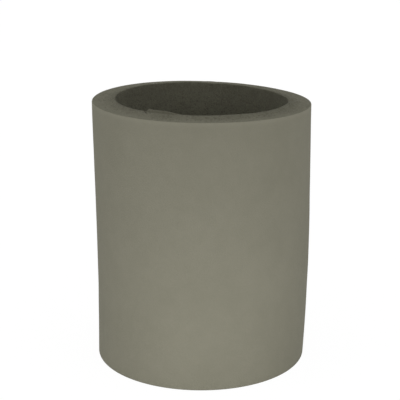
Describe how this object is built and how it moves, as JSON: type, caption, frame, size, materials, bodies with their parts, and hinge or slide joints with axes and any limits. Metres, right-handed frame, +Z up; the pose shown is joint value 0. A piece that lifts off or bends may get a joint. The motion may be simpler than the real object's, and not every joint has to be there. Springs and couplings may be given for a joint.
{
  "type": "can cooler sleeve",
  "caption": "Thick round foam sleeve that a drinks can stands in, open at the top, with a glued foam base and a vent hole.",
  "frame": {"origin": "centre of the foot, on the plane the sleeve stands on", "axes": "+Z up along the sleeve's axis, towards its open rim; the sleeve is round about Z"},
  "size_m": [0.084, 0.084, 0.102],
  "materials": {
    "wall_foam": "matte grey-olive foam with a smooth outer skin and open cells at the cut rim",
    "base_foam": "matte cut grey-olive foam with open cells"
  },
  "bodies": {
    "root": {"sleeve_wall": "wall_foam", "base_disc": "base_foam"}
  },
  "joints": []
}
